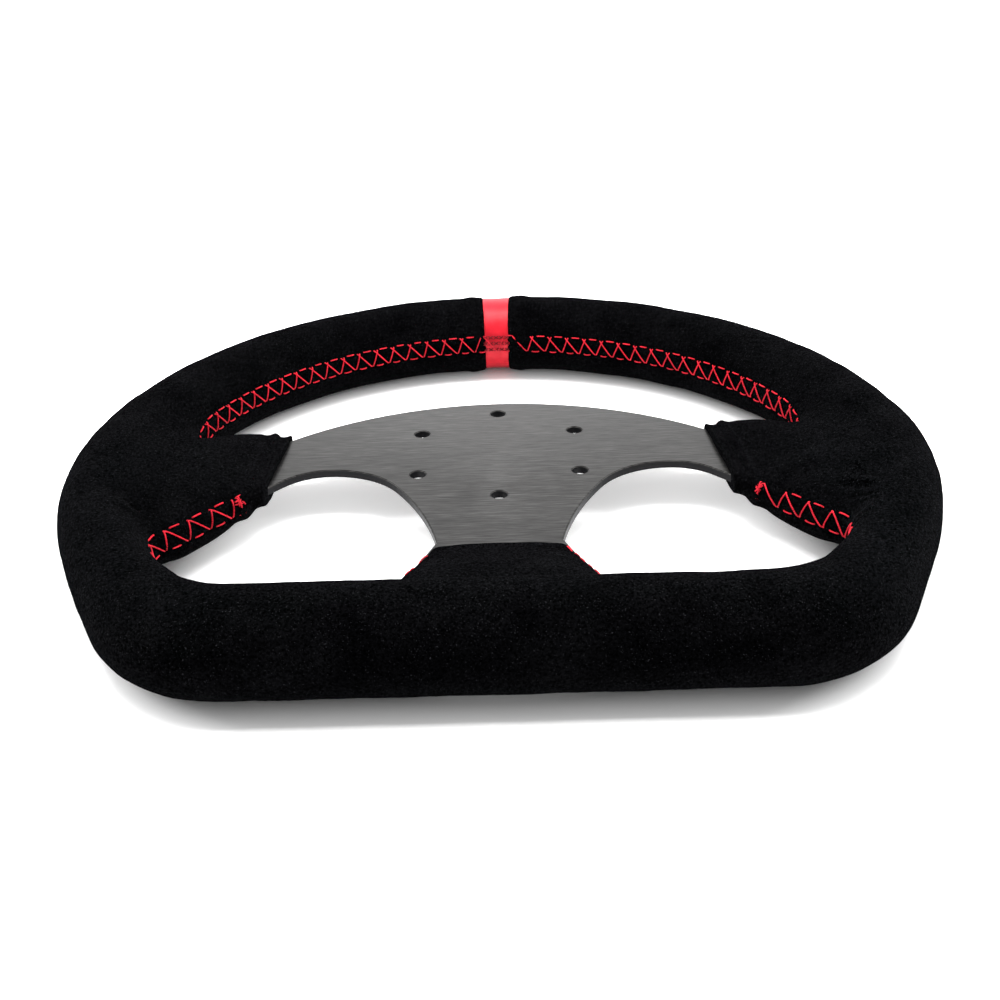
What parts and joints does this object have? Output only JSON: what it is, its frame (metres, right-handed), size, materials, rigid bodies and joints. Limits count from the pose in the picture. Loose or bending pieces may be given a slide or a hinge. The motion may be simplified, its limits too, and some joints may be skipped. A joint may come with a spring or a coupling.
{
  "type": "steering wheel",
  "caption": "D-shaped suede steering wheel with a flat spoke plate, laced seams, a centre marker and a bolt circle for a quick release hub.",
  "frame": {"origin": "centre of the bolt circle on the back face of the spoke plate", "axes": "+Z out of the front face along the steering axis, +Y to 12 o'clock, +X to the driver's right"},
  "size_m": [0.3226, 0.2912, 0.0344],
  "materials": {
    "anodised_plate": "satin",
    "hoop_steel": "satin",
    "rivet_alloy": "satin",
    "marker_leather": "satin",
    "moulded_foam": "matte",
    "black_suede": "matte",
    "red_thread": "matte"
  },
  "bodies": {
    "root": {"spoke_plate": "anodised_plate", "rim_hoop": "hoop_steel", "left_hoop_tab": "hoop_steel", "right_hoop_tab": "hoop_steel", "bottom_hoop_tab": "hoop_steel", "left_spoke_rivets": "rivet_alloy", "right_spoke_rivets": "rivet_alloy", "bottom_spoke_rivets": "rivet_alloy", "centre_marker": "marker_leather", "foam_core": "moulded_foam", "suede_cover": "black_suede", "bottom_spoke_flap": "black_suede", "left_sleeve_hem": "black_suede", "right_sleeve_hem": "black_suede", "upper_left_seam": "red_thread", "upper_right_seam": "red_thread", "lower_left_seam": "red_thread", "lower_right_seam": "red_thread", "left_seam_tack": "red_thread", "right_seam_tack": "red_thread"}
  },
  "joints": []
}
